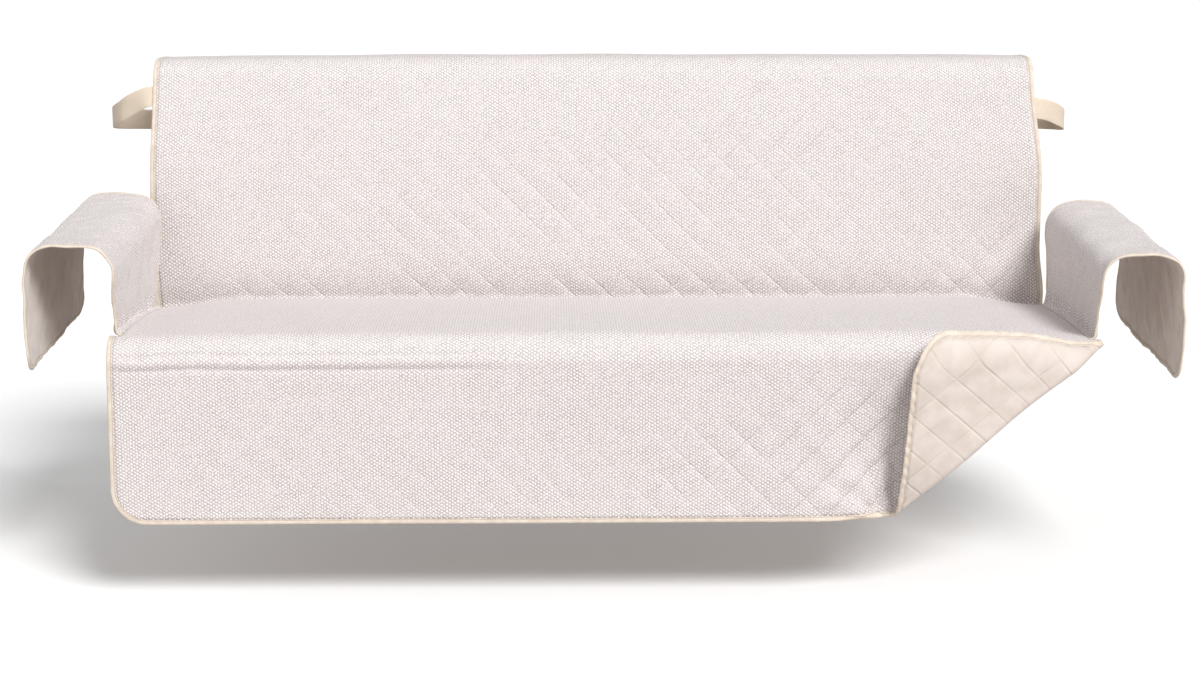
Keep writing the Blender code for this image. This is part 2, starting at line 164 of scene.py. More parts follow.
hollows = {                   # where the cloth sinks into the sofa's soft places
    "backCorner": (0.022, 0.036),      # beside each arm, at the foot of the back
    "backCornerStart": (0.70, 0.62),
    "backCornerEnd": 0.87,
    "backCornerRows": (0.26, 0.50, 0.56, 0.60),   # s where it begins, is full, fades and ends
    "besideFold": 0.034,      # skirt, beside the turned-back corner
    "besideFoldX": 0.500,
    "besideFoldSlant": 0.10,
    "besideFoldWidth": 0.070,
    "backCrown": 0.004,       # the back cushion is fuller in its middle
    "backCrownRows": (0.10, 0.25, 0.42, 0.56),
}


def hollowDepth(x, s):
    corner = ease(np.abs(x), bySide(x, hollows["backCornerStart"]), hollows["backCornerEnd"])
    corner = corner * bySide(x, hollows["backCorner"]) * band(s, *hollows["backCornerRows"])
    offset = x - hollows["besideFoldX"] + hollows["besideFoldSlant"] * (hemS - s)
    across = np.exp(-((offset / hollows["besideFoldWidth"]) ** 2))
    beside = hollows["besideFold"] * across * ease(s, edgeS + 0.03, hemS - 0.08)
    crown = hollows["backCrown"] * band(s, *hollows["backCrownRows"])
    return corner + beside - crown * (1 - ease(np.abs(x), 0.2, 0.8))


def onForm(x, s, sunk=1.0):
    y, z, normal = sideView(s)
    onBack = 1 - ease(s, creviceS - 0.10, creviceS)
    pull = bySide(x, cover["cornerPull"]) * ease(np.abs(x), 0.45, 0.85)
    pull = pull * (1 - ease(s, backFaceS, backFaceS + 0.20))
    across = x * (1 - cover["backNarrowing"] * onBack) + cover["backShift"] * onBack - np.sign(x) * pull
    depth = ease(s, seatS, edgeS)
    fall = cover["edgeFallRear"] + (bySide(x, cover["edgeFallFront"]) - cover["edgeFallRear"]) * depth
    fall = fall * ease(np.abs(x), cover["edgeFallStart"], cover["halfSeat"])
    fall = fall * ease(s, creviceS - 0.15, creviceS) * (1 - ease(s, edgeS, hemS))
    z = z - cover["topSag"] * onBack * (np.abs(x) / cover["halfWidth"]) ** 4 - fall
    point = np.stack([across, y, z], axis=-1)
    return point - normal * (hollowDepth(x, s) * sunk)[..., None], normal


def creaseDistances(x, s):
    run, rise = x - fold["footX"], hemS - s
    along = run * math.cos(fold["angle"]) + rise * math.sin(fold["angle"])
    past = run * math.sin(fold["angle"]) - rise * math.cos(fold["angle"])
    return along, past


def fromCrease(along, past):
    x = fold["footX"] + along * math.cos(fold["angle"]) + past * math.sin(fold["angle"])
    rise = along * math.sin(fold["angle"]) - past * math.cos(fold["angle"])
    return x, hemS - rise


def drapeBody(x, s):
    along, past = creaseDistances(x, s)
    folded = (s >= edgeS - 0.05) & (past > 0)
    halfTurn = math.pi * fold["radius"]
    turning = np.clip(past, 0, halfTurn) / fold["radius"]
    flap = np.clip(past - halfTurn, 0, None)
    belly = np.sin(math.pi * np.clip(along / 0.5, 0, 1))
    height = fold["radius"] * (1 - np.cos(turning))
    height = height + fold["lift"] * belly * ease(flap, 0.0, fold["length"])
    beyond = np.where(flap > 0, -fold["takeUp"] * flap, fold["radius"] * np.sin(turning))
    foldedX, foldedS = fromCrease(along - fold["slip"] * flap, beyond)
    sunk = np.where(folded, 1 - ease(past, 0.0, fold["bridge"]), 1.0)
    point, normal = onForm(np.where(folded, foldedX, x), np.where(folded, foldedS, s), sunk)
    return point + normal * np.where(folded, height, 0.0)[..., None]


def wallLength(s, side):
    foot = onForm(side * cover["halfSeat"] + 0 * s, s, 0.0)[0][..., 2]
    rearward = (armSeamEnd - s) / (armSeamEnd - seatS)
    which = side > 0
    level = arms["topLevel"][which] + arms["topClimb"] * rearward
    crown = math.radians(arms["topRise"]) * arms["topWidth"][which] * 0.3
    return level - foot - arms["footRadius"] - arms["shoulderRadius"] - crown


def sectionPoint(wall, side, distance):
    which = side > 0
    lean, rise, turn = arms["wallLean"][which], arms["topRise"], arms["topTurn"]
    section = (
        (arms["foot"], 0.0),
        (math.radians(90 + lean) * arms["footRadius"], 90.0 + lean),
        (wall, 0.0),
        (math.radians(90 + lean - rise) * arms["shoulderRadius"], -(90.0 + lean - rise)),
        (arms["topWidth"][which], -turn),
        (math.radians(90 + rise - turn) * arms["shoulderRadius"], -(90.0 + rise - turn)),
        (arms["panelWidth"][which], 0.0),
    )
    across, up, angle, left = 0 * distance, 0 * distance, 0.0, distance + 0.0
    for number, (length, turned) in enumerate(section):
        # Before the seam the foot runs on straight, so only the later stretches start at nothing.
        step = np.minimum(left, length) if number == 0 else np.clip(left, 0, length)
        curve = math.radians(turned) / length
        back, rose, _ = stepAlong(0.0, 0.0, angle, curve, step)
        across, up = across - back, up - rose
        angle += math.radians(turned)
        left = left - length
    return across, up


def drapeArm(side):
    middleWall = float(wallLength(np.array(armMiddle), side))
    wallStart = arms["foot"] + math.radians(90 + arms["wallLean"][side > 0]) * arms["footRadius"]

    def drape(s, distance):
        foot = onForm(side * cover["halfSeat"] + 0 * s, s, 0.0)[0]
        wall = wallLength(s, side)
        onWall = np.clip((distance - wallStart) / middleWall, 0, 1)
        across, up = sectionPoint(wall, side, distance + (wall - middleWall) * onWall)
        rearward = (armSeamEnd - s) / (armSeamEnd - seatS)
        levelY = arms["frontY"] + (arms["rearY"] - arms["frontY"]) * rearward
        y = foot[..., 1] + (levelY - foot[..., 1]) * ease(distance, 0.03, 0.15)
        x = side * (cover["halfSeat"] + cover["seam"] + across)
        return np.stack([x, y, foot[..., 2] + up], axis=-1)

    return drape


def clothNormals(drape, x, s):
    reach = 1e-4
    alongX = drape(x + reach, s) - drape(x - reach, s)
    alongS = drape(x, s + reach) - drape(x, s - reach)
    normal = np.cross(alongS, alongX)
    return normal / np.linalg.norm(normal, axis=-1, keepdims=True)


# Relief of the quilted cloth: sewn diamonds, soft waves and puckers.
quilting = {
    "pitch": 0.068,           # a diamond's width and height
    "groove": 0.0010,         # how far a full-strength line draws the face in
    "reverseGroove": 0.0009,
    "step": 0.0009,           # cloth rides up on one side of a line
    "plain": 0.10,            # strength away from the places below
    "reverse": (0.75, 0.42),  # the same, on the reverse
    "wave": 0.0016,
    "waveSize": 0.17,
    "stitch": 0.0058,         # from one stitch to the next
    "threadWidth": 0.0010,
    "dipWidth": 0.0035,
    "reverseLoft": 0.0004,    # the reverse stands a little fuller
    "thinnest": 0.0005,
    "strongest": 3.0,
    "markedAtMost": 1.3,      # in the stitches and the dips of the material
    # middle x and s, reach in x and s, strength of lines down to the right and up to the right
    "places": (
        (-0.34, 0.42, 0.30, 0.11, 0.85, 0.15),
        (-0.05, 0.38, 0.26, 0.13, 0.45, 0.22),
        (0.24, 0.36, 0.24, 0.18, 0.85, 0.55),
        (0.42, 0.22, 0.36, 0.12, 0.15, 0.75),
        (0.76, 0.49, 0.14, 0.10, 1.00, 1.10),
        (0.00, 0.550, 0.95, 0.026, 1.20, 1.10),
        (0.44, 1.38, 0.13, 0.13, 0.40, 3.00),
        (0.20, 1.37, 0.30, 0.12, 0.70, 0.70),
        (-0.35, 1.40, 0.30, 0.08, 0.45, 0.35),
        (0.30, 1.00, 0.40, 0.20, 0.10, 0.25),
    ),
}


def softNoise(x, s, size, seed):
    cells = 97
    table = np.random.default_rng(seed).uniform(-1, 1, (cells, cells))
    across, down = x / size + 40, s / size + 40
    column, row = np.floor(across).astype(int), np.floor(down).astype(int)
    tx, ts = across - column, down - row
    tx, ts = tx * tx * (3 - 2 * tx), ts * ts * (3 - 2 * ts)

    def at(i, j):
        return table[(column + i) % cells, (row + j) % cells]

    near = at(0, 0) * (1 - tx) + at(1, 0) * tx
    far = at(0, 1) * (1 - tx) + at(1, 1) * tx
    return near * (1 - ts) + far * ts


def quiltStrengths(x, s):
    falling = quilting["plain"] * (1 + 0.5 * softNoise(x, s, 0.13, 3))
    rising = quilting["plain"] * (1 + 0.5 * softNoise(x, s, 0.13, 4))
    for midX, midS, reachX, reachS, down, up in quilting["places"]:
        near = np.exp(-(((x - midX) / reachX) ** 2) - (((s - midS) / reachS) ** 2))
        falling = falling + down * near
        rising = rising + up * near
    falling = falling * (0.85 + 0.75 * softNoise(x, s, 0.06, 5))
    rising = rising * (0.85 + 0.75 * softNoise(x, s, 0.06, 6))
    return tuple(np.clip(strength, 0, quilting["strongest"]) for strength in (falling, rising))


def reverseStrengths(x, s):
    falling, rising = quilting["reverse"]
    return falling * (1 + 0.6 * softNoise(x, s, 0.05, 12)), rising * (1 + 0.8 * softNoise(x, s, 0.05, 13))


def sewnLine(turns, sharpness=0.6):
    return np.abs(np.sin(math.pi * turns)) ** sharpness - 1


def ramp(turns):
    part = turns - np.floor(turns)
    return np.where(part < 0.88, part / 0.88, (1 - part) / 0.12) - 0.5


def clothRelief(x, s, strengths):
    falling, rising = strengths
    pitch = quilting["pitch"]
    lift = quilting["step"] * (falling * ramp((x - s) / pitch) + rising * ramp((x + s) / pitch) * 0.8)
    return lift + quilting["wave"] * softNoise(x, s, quilting["waveSize"], 8)


def sewnRelief(x, s, strengths, depth):
    falling, rising = strengths
    pitch = quilting["pitch"]
    return depth * (falling * sewnLine((x - s) / pitch) + rising * sewnLine((x + s) / pitch))


backFoot = {                  # the back cushion rounds off above the crevice
    "depth": 0.0100,
    "start": 0.480,
}
ridge = {                     # the seat cushion's piping shows through along its front edge
    # s, height and half width of the groove above the piping, the piping and the groove below
    "rows": ((1.1720, -0.0024, 0.0045), (1.1845, 0.0022, 0.0075), (1.1970, -0.0021, 0.0045)),
    "span": (-0.85, -0.82, -0.40, -0.05),   # x where it begins, is full, fades and ends
    "wander": 0.0015,
    "fineBefore": 0.0070,
    "fineStep": 0.0030,
    "fineRows": 14,
}


tuck = {                      # small folds that fan out from the foot of the crease
    "x": 0.500,
    "height": 0.0080,
    "reach": 0.080,
    "folds": 15.0,
    "flapWrinkle": 0.0024,
    "hemPucker": 0.0012,
}


def tuckRelief(x, s, past):
    run, rise = x - tuck["x"], hemS + 0.012 - s
    away = np.hypot(run, rise)
    turn = np.arctan2(rise, -run)
    fan = np.cos(tuck["folds"] * turn + 1.5 * softNoise(x, s, 0.03, 15)) * np.exp(-away / tuck["reach"])
    fan = fan * ease(away, 0.0, 0.03) * (s > edgeS + 0.05) * tuck["height"]
    onFlap = ease(past, 0.03, 0.06) * (s > edgeS - 0.03)
    wrinkles = tuck["flapWrinkle"] * softNoise(x + s, 0.5 * (x - s), 0.032, 16)
    fromHem = np.minimum(hemS - s, cover["halfWidth"] - x)
    pucker = tuck["hemPucker"] * np.sin(2 * math.pi * (x - s) / 0.021 + 3 * softNoise(x, s, 0.04, 17))
    pucker = pucker * np.exp(-fromHem / 0.025)
    return fan * (1 - onFlap) + (wrinkles + pucker) * onFlap


def bodyRelief(x, s):
    strengths = quiltStrengths(x, s)
    lift = clothRelief(x, s, strengths)
    shown = band(x, *ridge["span"])
    for middle, height, half in ridge["rows"]:
        wander = ridge["wander"] * softNoise(x, 0 * s, 0.12, 11)
        lift = lift + height * shown * np.exp(-(((s - middle - wander) / half) ** 2))
    rounding = np.clip((s - backFoot["start"]) / (creviceS - backFoot["start"]), 0, 1.1)
    lift = lift - backFoot["depth"] * rounding ** 2 * (s < seatS - 0.01)
    inCrevice = band(s, creviceS + 0.006, creviceS + 0.02, seatS - 0.01, seatS + 0.03)
    past = creaseDistances(x, s)[1]
    lift = lift + tuckRelief(x, s, past)
    atCrease = (s > edgeS - 0.03) * band(past, -0.02, 0.0, 0.026, 0.05)
    calm = (1 - inCrevice) * (1 - 0.8 * atCrease)
    return lift * calm, calm


def placedBody(x, s):
    return drapeBody(x, s) + clothNormals(drapeBody, x, s) * bodyRelief(x, s)[0][..., None]


def buildMesh(name, points, faces, flat, faceMaterials, materials, sewn=None):
    data = bpy.data.meshes.new(name)
    data.from_pydata([tuple(point) for point in points], [], faces)
    for material in materials:
        data.materials.append(material)
    data.polygons.foreach_set("material_index", np.array(faceMaterials, np.int32))
    corners = np.empty(len(data.loops), np.int32)
    data.loops.foreach_get("vertex_index", corners)
    layer = data.uv_layers.new(name="flatCloth")
    layer.data.foreach_set("uv", np.asarray(flat, np.float32)[corners].ravel())
    if sewn is not None:
        shown = data.attributes.new("sewnStrength", "FLOAT_VECTOR", "POINT")
        shown.data.foreach_set("vector", np.asarray(sewn, np.float32).ravel())
    data.polygons.foreach_set("use_smooth", np.ones(len(data.polygons), bool))
    data.validate()
    data.update()
    piece = bpy.data.objects.new(name, data)
    bpy.context.scene.collection.objects.link(piece)
    return piece


def turnOutward(piece, recalculate=False):
    mesh = bmesh.new()
    mesh.from_mesh(piece.data)
    if recalculate:
        bmesh.ops.recalc_face_normals(mesh, faces=mesh.faces[:])
    if mesh.calc_volume(signed=True) < 0:
        bmesh.ops.reverse_faces(mesh, faces=mesh.faces[:])
    mesh.to_mesh(piece.data)
    mesh.free()


def buildTube(name, points, flat, ring, material):
    # Rings of points one after another, closed round and capped at both ends.
    last = len(points) - ring
    faces = [tuple(range(ring)), tuple(reversed(range(last, len(points))))]
    for at in range(0, last, ring):
        for side in range(ring):
            after = (side + 1) % ring
            faces.append((at + side, at + ring + side, at + ring + after, at + after))
    piece = buildMesh(name, points, faces, flat, [0] * len(faces), [material])
    turnOutward(piece, recalculate=True)
    return piece


def twoSkins(name, flat, faces, drape, outer, inner, materials, strengths):
    # The cloth's face and reverse follow the same drape, closed along every cut edge.
    x, s = flat[:, 0], flat[:, 1]
    middle, normal = drape(x, s), clothNormals(drape, x, s)
    points = np.concatenate([middle + normal * outer[:, None], middle - normal * inner[:, None]])
    count = len(flat)
    edges = {}
    for face in faces:
        for first, last in zip(face, face[1:] + face[:1]):
            edges[(first, last)] = True
    rim = [edge for edge in edges if (edge[1], edge[0]) not in edges]
    made = [tuple(face) for face in faces]
    made += [tuple(count + corner for corner in reversed(face)) for face in faces]
    made += [(last, first, first + count, last + count) for first, last in rim]
    kinds = [0] * len(faces) + [1] * len(faces) + [0] * len(rim)
    sewn = np.concatenate([np.stack([*pair, 0 * x], axis=-1) for pair in strengths])
    piece = buildMesh(name, points, made, np.concatenate([flat, flat]), kinds, materials, sewn)
    turnOutward(piece)
    return piece


def roundCorner(x, s, centerX, centerS, radius, sign):
    # Eases the square corner of a grid onto its arc.
    across = np.clip((np.abs(x) - centerX) / radius, 0, 1)
    down = np.clip(sign * (s - centerS) / radius, 0, 1)
    inside = (across > 0) & (down > 0)
    newX = np.sign(x) * (centerX + radius * across * np.sqrt(1 - down**2 / 2))
    newS = centerS + sign * radius * down * np.sqrt(1 - across**2 / 2)
    return np.where(inside, newX, x), np.where(inside, newS, s)


def cutFlat(mesh, point, normal, inside):
    faces = [face for face in mesh.faces if inside(face.calc_center_median())]
    edges = {edge for face in faces for edge in face.edges}
    verts = {vert for face in faces for vert in face.verts}
    bmesh.ops.bisect_plane(
        mesh, geom=faces + list(edges) + list(verts), dist=2e-4,
        plane_co=(*point, 0.0), plane_no=(*normal, 0.0),
    )


def gridLines(start, end, step, fixed):
    # Evenly spaced lines with the fixed ones among them, none too close to another.
    lines = [value for value in fixed if start - 1e-6 <= value <= end + 1e-6] + [start, end]
    for number in range(math.floor(start / step), math.ceil(end / step) + 1):
        value = number * step
        if start < value < end and min(abs(value - line) for line in lines[:len(fixed) + 2]) > 0.35 * step:
            lines.append(value)
    return sorted({round(line, 6) for line in lines})


def bodyFlat():
    step = quilting["pitch"] / 8
    inset = cover["binding"] + cover["seam"]
    widest, seat = cover["halfWidth"] - inset, cover["halfSeat"]
    fineRows = [creviceS]
    for name, parts in (("into the crevice", 4), ("crevice turn", 6), ("out of the crevice", 2),
                        ("rear edge of the seat", 5)):
        length = next(row[1] for row in cover["frontRun"] if row[0] == name)
        fineRows += [runStart[name] + length * part / parts for part in range(1, parts + 1)]
    above = gridLines(rearHemS + inset, creviceS, step, [])
    firstRow = ridge["rows"][0][0] - ridge["fineBefore"]
    atRidge = [firstRow + ridge["fineStep"] * number for number in range(ridge["fineRows"])]
    below = gridLines(fineRows[-1], hemS - inset, step, [edgeS] + atRidge)
    rows = np.array(above[:-1] + fineRows + below[1:])
    half = gridLines(0.0, widest, step, [seat])
    columns = np.array([-value for value in reversed(half[1:])] + half)
    x, s = (grid.ravel() for grid in np.meshgrid(columns, rows))
    radius = cover["corner"] - inset
    x, s = roundCorner(x, s, widest - radius, hemS - cover["corner"], radius, 1)
    x, s = roundCorner(x, s, widest - radius, rearHemS + cover["corner"], radius, -1)
    width = len(columns)
    mesh = bmesh.new()
    verts = [mesh.verts.new((float(a), float(b), 0.0)) for a, b in zip(x, s)]
    for j in range(len(rows) - 1):
        onSeat = seatS - 1e-6 < rows[j] < edgeS - 1e-6
        for i in range(width - 1):
            if onSeat and abs(columns[i] + columns[i + 1]) / 2 > seat:
                continue
            at = j * width + i
            mesh.faces.new((verts[at], verts[at + 1], verts[at + width + 1], verts[at + width]))
    bmesh.ops.delete(mesh, geom=[vert for vert in mesh.verts if not vert.link_faces], context="VERTS")
    normal = (math.sin(fold["angle"]), math.cos(fold["angle"]))

    def nearCrease(center):
        past = creaseDistances(center.x, center.y)[1]
        return center.y > edgeS - 0.02 and -0.02 < past < 0.05

    halfTurn = math.pi * fold["radius"]
    for part in range(9):
        cutFlat(mesh, fromCrease(0.0, halfTurn * part / 8), normal, nearCrease)
    mesh.verts.index_update()
    flat = np.array([(vert.co.x, vert.co.y) for vert in mesh.verts])
    faces = [[vert.index for vert in face.verts] for face in mesh.faces]
    mesh.free()
    return flat, faces


# Materials. Patterns follow each piece's own flat measure, in metres, so they run with the cloth.
def newMaterial(name, color, finish):
    material = bpy.data.materials.new(name)
    material.use_nodes = True
    shader = material.node_tree.nodes["Principled BSDF"]
    shader.inputs["Base Color"].default_value = (*color, 1.0)
    shader.inputs["Roughness"].default_value = finish["roughness"]
    shader.inputs["Specular IOR Level"].default_value = 0.25
    shader.inputs["Sheen Weight"].default_value = finish["sheen"]
    shader.inputs["Sheen Roughness"].default_value = 0.5
    return material, material.node_tree, shader


def mathNode(tree, kind, first, second=None):
    node = tree.nodes.new("ShaderNodeMath")
    node.operation = kind
    for socket, value in zip(node.inputs, (first, second)):
        if value is None:
            continue
        if isinstance(value, (int, float)):
            socket.default_value = value
        else:
            tree.links.new(value, socket)
    return node.outputs[0]


def spread(tree, value, low, high, toLow=0.0, toHigh=1.0):
    node = tree.nodes.new("ShaderNodeMapRange")
    node.interpolation_type = "SMOOTHSTEP"
    tree.links.new(value, node.inputs["Value"])
    for socket, number in zip(("From Min", "From Max", "To Min", "To Max"), (low, high, toLow, toHigh)):
        node.inputs[socket].default_value = number
    return node.outputs["Result"]


def blendColors(tree, share, first, second):
    node = tree.nodes.new("ShaderNodeMix")
    node.data_type = "RGBA"
    tree.links.new(share, node.inputs["Factor"])
    for socket, color in zip(("A", "B"), (first, second)):
        place = next(item for item in node.inputs if item.name == socket and item.type == "RGBA")
        if isinstance(color, tuple):
            place.default_value = (*color, 1.0)
        else:
            tree.links.new(color, place)
    return next(item for item in node.outputs if item.type == "RGBA")


def noiseNode(tree, vector, scale, detail=2.0):
    node = tree.nodes.new("ShaderNodeTexNoise")
    node.inputs["Scale"].default_value = scale
    node.inputs["Detail"].default_value = detail
    tree.links.new(vector, node.inputs["Vector"])
    return node.outputs[0]


def flatMeasure(tree):
    uv = tree.nodes.new("ShaderNodeUVMap")
    uv.uv_map = "flatCloth"
    split = tree.nodes.new("ShaderNodeSeparateXYZ")
    tree.links.new(uv.outputs["UV"], split.inputs[0])
    return uv.outputs["UV"], split.outputs["X"], split.outputs["Y"]


def addBump(tree, height, distance, strength=1.0):
    bump = tree.nodes.new("ShaderNodeBump")
    bump.inputs["Distance"].default_value = distance
    bump.inputs["Strength"].default_value = strength
    tree.links.new(height, bump.inputs["Height"])
    return bump


def linkBumps(tree, shader, *bumps):
    # Each bump rides on the one before it, and the last one reaches the shader.
    for bump, onto in zip(bumps, (*bumps[1:], shader)):
        tree.links.new(bump.outputs["Normal"], onto.inputs["Normal"])


def sewnDistance(tree, u, v):
    # For each slant: distance from the nearest sewn line, a dash along it, and the line's strength.
    pitch = quilting["pitch"]
    total, gap = mathNode(tree, "ADD", u, v), mathNode(tree, "SUBTRACT", u, v)
    strength = tree.nodes.new("ShaderNodeAttribute")
    strength.attribute_name = "sewnStrength"
    split = tree.nodes.new("ShaderNodeSeparateXYZ")
    tree.links.new(strength.outputs["Vector"], split.inputs[0])
    found = []
    for line, other, pull in ((total, gap, split.outputs["Y"]), (gap, total, split.outputs["X"])):
        turns = mathNode(tree, "MULTIPLY", line, 1 / pitch)
        away = mathNode(tree, "MULTIPLY", mathNode(tree, "PINGPONG", turns, 0.5), pitch / math.sqrt(2))
        stitch = mathNode(tree, "PINGPONG", mathNode(tree, "MULTIPLY", other, 1 / quilting["stitch"]), 0.5)
        marked = mathNode(tree, "MINIMUM", pull, quilting["markedAtMost"])
        found.append((away, spread(tree, stitch, 0.08, 0.16), marked))
    return found


def sewnMarks(tree, u, v):
    # One where a stitch shows, and a height that dips along the sewn lines.
    stitches, dips = [], []
    for away, dash, pull in sewnDistance(tree, u, v):
        thread = spread(tree, away, quilting["threadWidth"] / 2, quilting["threadWidth"], 1.0, 0.0)
        stitches.append(mathNode(tree, "MULTIPLY", mathNode(tree, "MULTIPLY", thread, dash), pull))
        dip = mathNode(tree, "MULTIPLY", spread(tree, away, 0.0, quilting["dipWidth"], 1.0, 0.0), pull)
        dips.append(mathNode(tree, "SUBTRACT", 1.0, dip))
    return mathNode(tree, "MAXIMUM", *stitches), mathNode(tree, "MINIMUM", *dips)


faceCloth = {
    "grain": (0.910, 0.865, 0.848),    # the raised pale grains
    "ground": (0.430, 0.372, 0.370),   # mauve-grey between them
    "thread": (0.700, 0.650, 0.630),
    "faded": (0.800, 0.758, 0.742),
    "repeat": (0.0095, 0.0060),        # across and along the cloth
    "parts": (0.80, 0.72, 0.62, 0.24),  # slanting rows, the other slant, columns, rows
    "wobble": 3.4,            # how far the rows of grains wander, in radians
    "wobbleScale": 170.0,
    "uneven": 3.6,
    "unevenScale": 330.0,
    "clearScale": 45.0,       # patches where the print is clearer
    "clearness": (0.82, 1.15),
    "covered": (-1.7, 1.5),   # from bare ground to full grain
    "wornScale": 9.0,
    "wornShare": 0.10,
    "stitchShare": 0.35,
    "grainHeight": 0.00030,
    "dip": 0.0008,
    "roughness": 0.88,
    "sheen": 0.25,
}
reverseCloth = {
    "pile": (0.725, 0.645, 0.590),
    "shade": (0.640, 0.560, 0.500),
    "thread": (0.580, 0.490, 0.425),
    "brushScale": 26.0,
    "fuzzScale": 900.0,
    "fuzzHeight": 0.0002,
    "stitchShare": 0.45,
    "dip": 0.0011,
    "roughness": 0.80,
    "sheen": 0.35,
}


def makeFaceCloth():
    material, tree, shader = newMaterial("quiltedFace", faceCloth["grain"], faceCloth)
    uv, u, v = flatMeasure(tree)
    wander = mathNode(tree, "SUBTRACT", noiseNode(tree, uv, faceCloth["wobbleScale"]), 0.5)
    wobble = mathNode(tree, "MULTIPLY", wander, faceCloth["wobble"])
    across, along = (
        mathNode(tree, "ADD", mathNode(tree, "MULTIPLY", measure, 2 * math.pi / size), wobble)
        for measure, size in zip((u, v), faceCloth["repeat"])
    )
    slants = mathNode(tree, "SUBTRACT", across, along), mathNode(tree, "ADD", across, along)
    doubles = mathNode(tree, "MULTIPLY", across, 2.0), mathNode(tree, "MULTIPLY", along, 2.0)
    grains = None
    for turns, share in zip(slants + doubles, faceCloth["parts"]):
        scaled = mathNode(tree, "MULTIPLY", mathNode(tree, "COSINE", turns), share)
        grains = scaled if grains is None else mathNode(tree, "ADD", grains, scaled)
    clearPatches = noiseNode(tree, uv, faceCloth["clearScale"])
    clearness = spread(tree, clearPatches, 0.35, 0.65, *faceCloth["clearness"])
    grains = mathNode(tree, "MULTIPLY", grains, clearness)
    speckle = mathNode(tree, "SUBTRACT", noiseNode(tree, uv, faceCloth["unevenScale"], 3.0), 0.5)
    uneven = mathNode(tree, "MULTIPLY", speckle, faceCloth["uneven"])
    covered = spread(tree, mathNode(tree, "ADD", grains, uneven), *faceCloth["covered"])
    printed = blendColors(tree, covered, faceCloth["ground"], faceCloth["grain"])
    stitches, dips = sewnMarks(tree, u, v)
    patches = noiseNode(tree, uv, faceCloth["wornScale"], 3.0)
    worn = spread(tree, patches, 0.3, 0.7, 0.0, faceCloth["wornShare"])
    faded = blendColors(tree, worn, printed, faceCloth["faded"])
    seen = mathNode(tree, "MULTIPLY", stitches, faceCloth["stitchShare"])
    colored = blendColors(tree, seen, faded, faceCloth["thread"])
    tree.links.new(colored, shader.inputs["Base Color"])
    grainBump = addBump(tree, grains, faceCloth["grainHeight"], 0.7)
    dipBump = addBump(tree, dips, faceCloth["dip"])
    linkBumps(tree, shader, dipBump, grainBump)
    return material


def makeReverseCloth():
    material, tree, shader = newMaterial("quiltedReverse", reverseCloth["pile"], reverseCloth)
    uv, u, v = flatMeasure(tree)
    brushed = spread(tree, noiseNode(tree, uv, reverseCloth["brushScale"], 4.0), 0.3, 0.7)
    pile = blendColors(tree, brushed, reverseCloth["shade"], reverseCloth["pile"])
    stitches, dips = sewnMarks(tree, u, v)
    seen = mathNode(tree, "MULTIPLY", stitches, reverseCloth["stitchShare"])
    colored = blendColors(tree, seen, pile, reverseCloth["thread"])
    tree.links.new(colored, shader.inputs["Base Color"])
    fuzz = addBump(tree, noiseNode(tree, uv, reverseCloth["fuzzScale"]), reverseCloth["fuzzHeight"], 0.6)
    dipBump = addBump(tree, dips, reverseCloth["dip"])
    linkBumps(tree, shader, dipBump, fuzz)
    return material


tape = {
    "color": (0.705, 0.600, 0.500),
    "pale": (0.785, 0.700, 0.600),
    "thread": (0.560, 0.460, 0.385),
    "reach": 0.0092,          # how far the folded tape covers the cloth
    "halfThickness": 0.0022,
    "stitchInset": 0.0074,
    "stitch": 0.0030,
    "spacing": 0.0045,
    "mottleScale": 60.0,
    "twill": 0.0011,
    "twillHeight": 0.00008,
    "stitchSunk": 0.0004,
    "roughness": 0.75,
    "sheen": 0.15,
}


def makeTapeMaterial():
    material, tree, shader = newMaterial("bindingTape", tape["color"], tape)
    uv, u, v = flatMeasure(tree)
    mottled = spread(tree, noiseNode(tree, uv, tape["mottleScale"], 3.0), 0.3, 0.7)
    base = blendColors(tree, mottled, tape["color"], tape["pale"])
    away = mathNode(tree, "ABSOLUTE", mathNode(tree, "SUBTRACT", v, tape["stitchInset"]))
    line = spread(tree, away, 0.0003, 0.0010, 1.0, 0.0)
    stitch = mathNode(tree, "PINGPONG", mathNode(tree, "MULTIPLY", u, 1 / tape["stitch"]), 0.5)
    dash = spread(tree, stitch, 0.06, 0.14)
    sewn = mathNode(tree, "MULTIPLY", line, dash)
    colored = blendColors(tree, sewn, base, tape["thread"])
    tree.links.new(colored, shader.inputs["Base Color"])
    turns = mathNode(tree, "MULTIPLY", mathNode(tree, "ADD", u, v), 2 * math.pi / tape["twill"])
    weave = addBump(tree, mathNode(tree, "SINE", turns), tape["twillHeight"], 0.7)
    sunk = addBump(tree, mathNode(tree, "SUBTRACT", 1.0, line), tape["stitchSunk"])
    linkBumps(tree, shader, sunk, weave)
    return material


elastic = {
    "color": (0.770, 0.630, 0.485),
    "rib": (0.850, 0.745, 0.615),
    "ribWidth": 0.0021,
    "pick": 0.0016,
    "ribHeight": 0.0003,
    "roughness": 0.70,
    "sheen": 0.20,
}


def makeElasticMaterial():
    material, tree, shader = newMaterial("elasticWebbing", elastic["color"], elastic)
    _, u, v = flatMeasure(tree)
    ribs = mathNode(tree, "COSINE", mathNode(tree, "MULTIPLY", v, 2 * math.pi / elastic["ribWidth"]))
    picks = mathNode(tree, "COSINE", mathNode(tree, "MULTIPLY", u, 2 * math.pi / elastic["pick"]))
    cords = mathNode(tree, "ADD", ribs, mathNode(tree, "MULTIPLY", picks, 0.35))
    colored = blendColors(tree, spread(tree, cords, -1.0, 1.0), elastic["color"], elastic["rib"])
    tree.links.new(colored, shader.inputs["Base Color"])
    linkBumps(tree, shader, addBump(tree, cords, elastic["ribHeight"], 0.8))
    return material


faceMaterial = makeFaceCloth()
reverseMaterial = makeReverseCloth()
tapeMaterial = makeTapeMaterial()
elasticMaterial = makeElasticMaterial()
print("materials made")


